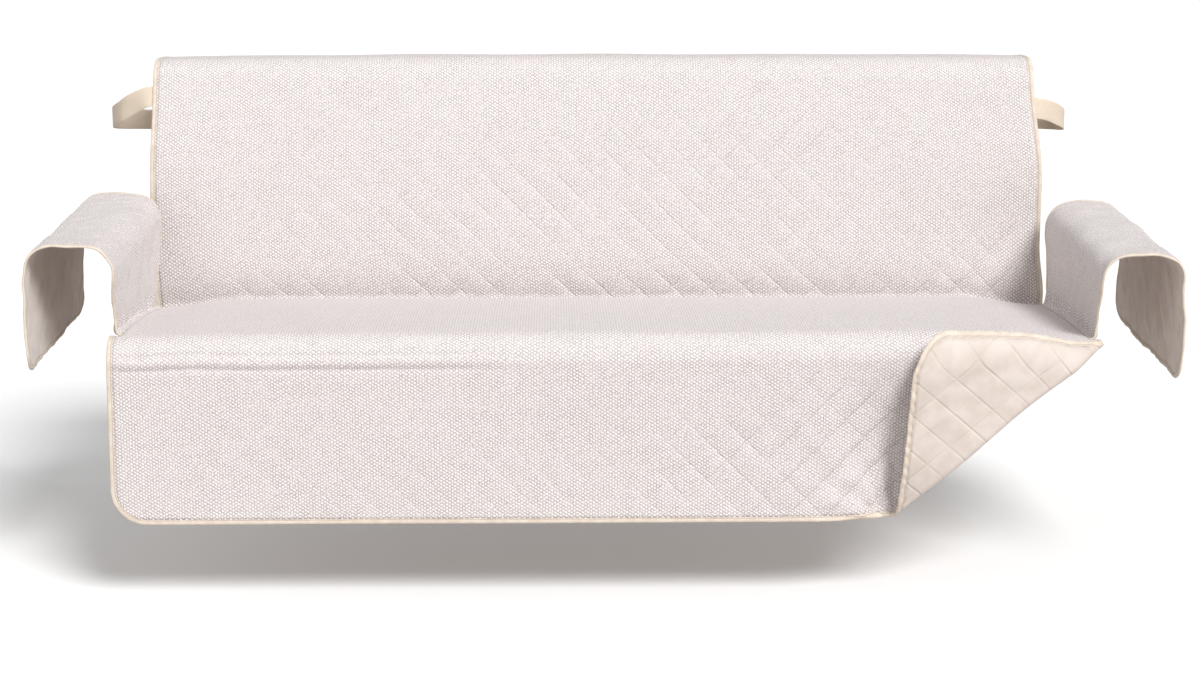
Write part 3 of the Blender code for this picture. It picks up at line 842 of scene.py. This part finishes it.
def makeBodyCloth():
    flat, faces = bodyFlat()
    x, s = flat[:, 0], flat[:, 1]
    strengths = quiltStrengths(x, s)
    calm = bodyRelief(x, s)[1]
    half = cover["sheet"] / 2
    outer = half + sewnRelief(x, s, strengths, quilting["groove"]) * calm
    evenly = reverseStrengths(x, s)
    inner = half + sewnRelief(x, s, evenly, quilting["reverseGroove"]) * calm + quilting["reverseLoft"]
    outer = np.maximum(outer, quilting["thinnest"] - inner)
    return twoSkins("body_cloth", flat, faces, placedBody, outer, inner, [faceMaterial, reverseMaterial],
                    (strengths, evenly))


def outlinePath(half, start, end, radius, spacing):
    # Outer edge from the start on one side, round two corners, to the start on the other side.
    sign = 1 if end > start else -1
    points = []

    def straight(first, last, normal):
        length = math.dist(first, last)
        parts = max(1, round(length / spacing))
        for part in range(parts):
            t = part / parts
            points.append((first[0] + (last[0] - first[0]) * t, first[1] + (last[1] - first[1]) * t, *normal))

    def corner(centerX, centerS, first, turn):
        parts = max(6, round(math.pi / 2 * radius / spacing))
        for part in range(parts):
            angle = first + turn * part / parts
            cosine, sine = math.cos(angle), math.sin(angle)
            points.append((centerX + radius * cosine, centerS + radius * sine, -cosine, -sine))

    turnAt = end - sign * radius
    straight((-half, start), (-half, turnAt), (1, 0))
    corner(radius - half, turnAt, math.pi, -sign * math.pi / 2)
    straight((radius - half, end), (half - radius, end), (0, -sign))
    corner(half - radius, turnAt, sign * math.pi / 2, -sign * math.pi / 2)
    straight((half, turnAt), (half, start), (-1, 0))
    points.append((half, start, -1, 0))
    return np.array(points)


def tapeSection():
    # Closed section of the folded tape: inset from the outer edge, and height off the cloth's middle.
    reach, half = tape["reach"], tape["halfThickness"]
    upper = [(reach, half - 0.0007), (reach - 0.0008, half), (tape["stitchInset"], half - 0.0004),
             (tape["stitchInset"] - 0.0012, half + 0.0001), (0.0045, half + 0.0002), (0.0022, half)]
    bend = [(0.0022 - 0.0022 * math.sin(angle), half * math.cos(angle))
            for angle in (math.radians(45), math.radians(90), math.radians(135))]
    lower = [(inset, -height) for inset, height in reversed(upper)]
    return np.array(upper + bend + lower)


def sewTape(name, path, drape, seed):
    section = tapeSection()
    rows, ring = len(path), len(section)
    run = np.concatenate([[0.0], np.cumsum(np.hypot(*np.diff(path[:, :2], axis=0).T))])
    uneven = softNoise(run, 0 * run, 0.021, seed) * 0.5 + softNoise(run, 0 * run, 0.008, seed + 1) * 0.5
    width = 1 + 0.05 * softNoise(run, 0 * run, 0.034, seed + 2)
    x = path[:, :1] + path[:, 2:3] * section[None, :, 0] * width[:, None]
    s = path[:, 1:2] + path[:, 3:4] * section[None, :, 0] * width[:, None]
    height = section[None, :, 1] * (1 + 0.14 * uneven[:, None])
    x, s, height = x.ravel(), s.ravel(), height.ravel()
    points = drape(x, s) + clothNormals(drape, x, s) * height[:, None]
    flat = np.stack([np.repeat(run, ring), np.tile(section[:, 0], rows)], axis=-1)
    return buildTube(name, points, flat, ring, tapeMaterial)


def sewBodyTape(name, start, end, seed):
    path = outlinePath(cover["halfWidth"], start, end, cover["corner"], tape["spacing"])
    return sewTape(name, path, placedBody, seed)


bodyCloth = makeBodyCloth()
print("body cloth:", len(bodyCloth.data.polygons), "faces")
backTape = sewBodyTape("back_tape", seatS - cover["creviceInset"], rearHemS, 20)
skirtTape = sewBodyTape("skirt_tape", edgeS, hemS, 30)
print("body binding sewn")


# Arm panels: quilted cloth over each arm, sewn to the seat along its inner edge.
armCloth = {
    "step": 0.0045,
    "wrinkle": 0.0028,
    "crumple": 0.0017,
    "pucker": 0.0022,
    "puckerRows": (0.004, 0.012, 0.015, 0.045),
    "strength": (0.22, 0.32),
}


def armRelief(side):
    def relief(s, distance):
        wrinkles = armCloth["wrinkle"] * softNoise(s + 0.5 * distance, distance, 0.055, 41 + side)
        wrinkles = wrinkles + armCloth["crumple"] * softNoise(s, distance - s, 0.024, 44 + side)
        seam = 1 - ease(distance, 0.0, 0.02)
        pucker = armCloth["pucker"] * np.sin(2 * math.pi * s / 0.017 + 2 * softNoise(s, 0 * s, 0.05, 47))
        pucker = pucker * band(distance, *armCloth["puckerRows"])
        return wrinkles * (1 - seam) + pucker

    return relief


def placedArm(side):
    drape, relief = drapeArm(side), armRelief(side)

    def placed(s, distance):
        # The normal points out of the cloth's face: along s first, then over the arm.
        normal = clothNormals(drape, s, distance) * -side
        return drape(s, distance) + normal * relief(s, distance)[..., None]

    return placed


def makeArmCloth(side, word):
    inset = cover["binding"] + cover["seam"]
    front, rear = armSeamEnd - inset, seatS + inset
    outer, radius = arms["panelWidth"][side > 0] - inset, cover["armCorner"] - inset
    rows = np.array(gridLines(0.0, outer, armCloth["step"], []))
    columns = np.linspace(rear, front, round((front - rear) / armCloth["step"]) + 1)
    s, distance = (grid.ravel() for grid in np.meshgrid(columns, rows))
    middle = (front + rear) / 2
    s, distance = roundCorner(s - middle, distance, (front - rear) / 2 - radius, outer - radius, radius, 1)
    s = s + middle
    width = len(columns)
    faces = [[j * width + i, j * width + i + 1, (j + 1) * width + i + 1, (j + 1) * width + i]
             for j in range(len(rows) - 1) for i in range(width - 1)]
    strength = armCloth["strength"][side > 0] * (1 + 0.6 * softNoise(s, distance, 0.07, 50 + side))
    evenly = reverseStrengths(s, distance)
    half = cover["sheet"] / 2
    face = half + sewnRelief(s, distance, (strength, strength), quilting["groove"])
    back = half + sewnRelief(s, distance, evenly, quilting["reverseGroove"]) + quilting["reverseLoft"]
    flat = np.stack([s, distance], axis=-1)
    if side > 0:
        return twoSkins(word + "_arm_cloth", flat, faces, placedArm(side), back, face,
                        [reverseMaterial, faceMaterial], (evenly, (strength, strength)))
    return twoSkins(word + "_arm_cloth", flat, faces, placedArm(side), face, back,
                    [faceMaterial, reverseMaterial], ((strength, strength), evenly))


def armPath(side):
    # From the seam's front end, over the arm's three free edges, back to the seam's rear end.
    half = (armSeamEnd - seatS) / 2
    path = outlinePath(half, 0.0, arms["panelWidth"][side > 0], cover["armCorner"], tape["spacing"])
    path[:, 0] += (armSeamEnd + seatS) / 2
    return path


armPieces = {}
for side, word in ((-1, "left"), (1, "right")):
    cloth = makeArmCloth(side, word)
    edging = sewTape(word + "_arm_tape", armPath(side), placedArm(side), 60 + 10 * side)
    armPieces[word] = (cloth, edging)
print("arm panels made")


# Elastic strap round the sofa's back. Its two ends are sewn under the back's edges.
strap = {
    "width": 0.038,
    "thickness": 0.0015,
    "leftEnd": ((-0.790, 0.170), (-0.840, 0.175), (-0.860, 0.177)),   # x and s under the back
    "rightEnd": ((0.838, 0.200), (0.818, 0.198), (0.770, 0.194)),
    "round": (
        (-0.886, -0.124, -0.077),
        (-0.915, -0.103, -0.095),
        (-0.937, -0.060, -0.109),
        (-0.944, 0.000, -0.120),
        (-0.936, 0.060, -0.128),
        (-0.904, 0.099, -0.133),
        (-0.840, 0.109, -0.136),
        (-0.420, 0.109, -0.138),
        (0.000, 0.109, -0.139),
        (0.420, 0.109, -0.139),
        (0.820, 0.109, -0.138),
        (0.868, 0.099, -0.136),
        (0.896, 0.060, -0.133),
        (0.903, 0.000, -0.127),
        (0.897, -0.060, -0.118),
        (0.880, -0.101, -0.107),
        (0.858, -0.122, -0.096),
    ),
    "divisions": 12,
    "across": 14,
    "edgeRound": 0.0004,
    "edgeThinning": 0.35,
}


def strapRoute():
    depth = (cover["sheet"] + strap["thickness"]) / 2 + 5 * cover["seam"]
    ends = []
    for x, s in strap["leftEnd"] + strap["rightEnd"]:
        at, ahead = np.array(x), np.array(s)
        point = onForm(at, ahead)[0]
        normal = clothNormals(lambda a, b: onForm(a, b)[0], at, ahead)
        upper = onForm(at, ahead - strap["width"] / 2)[0] - point
        ends.append((point - normal * depth, upper / np.linalg.norm(upper)))
    between = [(np.array(point), np.array((0.0, 0.0, 1.0))) for point in strap["round"]]
    split = len(strap["leftEnd"])
    return ends[:split] + between + ends[split:]


def splinePoint(values, spacing, t):
    # A smooth curve through unevenly spaced values, one unit of t for each.
    index = min(max(int(math.floor(t)), 0), len(values) - 2)
    u = t - index

    def slope(at):
        before, after = max(at - 1, 0), min(at, len(spacing) - 1)
        first = (values[before + 1] - values[before]) / spacing[before]
        second = (values[after + 1] - values[after]) / spacing[after]
        share = spacing[before] / (spacing[before] + spacing[after])
        return first * (1 - share) + second * share

    start, end = values[index], values[index + 1]
    leave, arrive = slope(index) * spacing[index], slope(index + 1) * spacing[index]
    bend = (end - start) * 3 - leave * 2 - arrive
    return start + (leave + (bend + ((start - end) * 2 + leave + arrive) * u) * u) * u


def makeStrap():
    route = strapRoute()
    points, uppers = [point for point, _ in route], [upper for _, upper in route]
    spacing = [float(np.linalg.norm(end - start)) for start, end in zip(points, points[1:])]
    centers, sides = [], []
    last = (len(points) - 1) * strap["divisions"]
    for part in range(last + 1):
        t = part / strap["divisions"]
        heading = splinePoint(points, spacing, t + 1e-3) - splinePoint(points, spacing, t - 1e-3)
        heading = heading / np.linalg.norm(heading)
        upper = splinePoint(uppers, spacing, t)
        upper = upper - heading * (upper @ heading)
        centers.append(splinePoint(points, spacing, t))
        sides.append((upper / np.linalg.norm(upper), np.cross(heading, upper)))
    run = np.concatenate([[0.0], np.cumsum(np.linalg.norm(np.diff(centers, axis=0), axis=1))])
    half, thick = strap["width"] / 2, strap["thickness"] / 2
    upper = [(-half + strap["width"] * k / strap["across"], thick) for k in range(strap["across"] + 1)]
    lower = [(across, -thick) for across, _ in reversed(upper)]
    edge = half + strap["edgeRound"]
    ring = upper + [(edge, 0.0)] + lower + [(-edge, 0.0)]
    vertices, flat = [], []
    for center, (up, out), distance in zip(centers, sides, run):
        out = out / np.linalg.norm(out)
        for across, height in ring:
            share = 1 - strap["edgeThinning"] * (abs(across) > half - 0.001)
            vertices.append(center + up * across + out * height * share)
            flat.append((distance, across))
    return buildTube("elastic_band", vertices, flat, len(ring), elasticMaterial), float(run[-1])


elasticBand, strapLength = makeStrap()
print("strap made:", round(strapLength, 3), "m")

# Each piece rides on the root; each row gives the part it stands for and the name of its finish.
rows = [
    (bodyCloth, "body_panel", "quilted_cloth"),
    (backTape, "back_binding", "binding_tape"),
    (skirtTape, "skirt_binding", "binding_tape"),
    (elasticBand, "elastic_strap", "elastic_webbing"),
]
for word, (cloth, edging) in armPieces.items():
    rows += [(cloth, word + "_arm_panel", "quilted_cloth"), (edging, word + "_arm_binding", "binding_tape")]
for piece, node, slot in rows:
    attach(piece, "root")
    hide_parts(node)

# Plain studio: a pale floor, soft light from the upper right, and the camera in front.
studio = {
    "floorDepth": -0.8807,
    "floorColor": (0.93, 0.93, 0.93),
    "floorBounce": (0.64, 0.61, 0.60),   # what the cloth sees of the floor, darker than the camera does
    "floorGlow": 0.10,
    "roughness": 0.95,
    "sheen": 0.0,
    "worldColor": (1.0, 1.0, 1.0),
    "worldStrength": 0.38,
    "cameraPlace": (-0.090, -5.085, 0.4493),
    "cameraPitch": 0.20,
    "cameraTurn": 0.0177,
    "lens": 78.3,
    # height above the floor and turn to the right in degrees, softness, strength
    "lamps": {"key": (42.0, 28.0, 22.0, 3.05), "fill": (30.0, -50.0, 60.0, 0.32)},
}


def makeStudio():
    bpy.ops.object.select_all(action="DESELECT")
    bpy.ops.mesh.primitive_plane_add(size=90.0, location=(0.0, 0.0, studio["floorDepth"]))
    floor = bpy.context.object
    floor.name = "studio_floor"
    material, tree, shader = newMaterial("paleFloor", studio["floorColor"], studio)
    shader.inputs["Emission Color"].default_value = (1.0, 1.0, 1.0, 1.0)
    seen = tree.nodes.new("ShaderNodeLightPath").outputs["Is Camera Ray"]
    floorColor = blendColors(tree, seen, studio["floorBounce"], studio["floorColor"])
    tree.links.new(floorColor, shader.inputs["Base Color"])
    tree.links.new(mathNode(tree, "MULTIPLY", seen, studio["floorGlow"]), shader.inputs["Emission Strength"])
    floor.data.materials.append(material)
    world = bpy.data.worlds.new("studioWorld")
    world.use_nodes = True
    background = world.node_tree.nodes["Background"]
    background.inputs["Color"].default_value = (*studio["worldColor"], 1.0)
    background.inputs["Strength"].default_value = studio["worldStrength"]
    bpy.context.scene.world = world
    for name, (height, turn, softness, strength) in studio["lamps"].items():
        lamp = bpy.data.lights.new(name + "Light", "SUN")
        lamp.angle = math.radians(softness)
        lamp.energy = strength
        holder = bpy.data.objects.new(name + "Light", lamp)
        holder.rotation_euler = (math.radians(90 - height), 0.0, math.radians(turn))
        bpy.context.scene.collection.objects.link(holder)
    camera = bpy.data.cameras.new("frontCamera")
    camera.lens = studio["lens"]
    camera.sensor_width = 36.0
    holder = bpy.data.objects.new("frontCamera", camera)
    holder.location = studio["cameraPlace"]
    holder.rotation_euler = (math.pi / 2 - studio["cameraPitch"], 0.0, -studio["cameraTurn"])
    bpy.context.scene.collection.objects.link(holder)
    bpy.context.scene.camera = holder
    bpy.context.scene.view_settings.view_transform = "Standard"


makeStudio()
print("studio set")
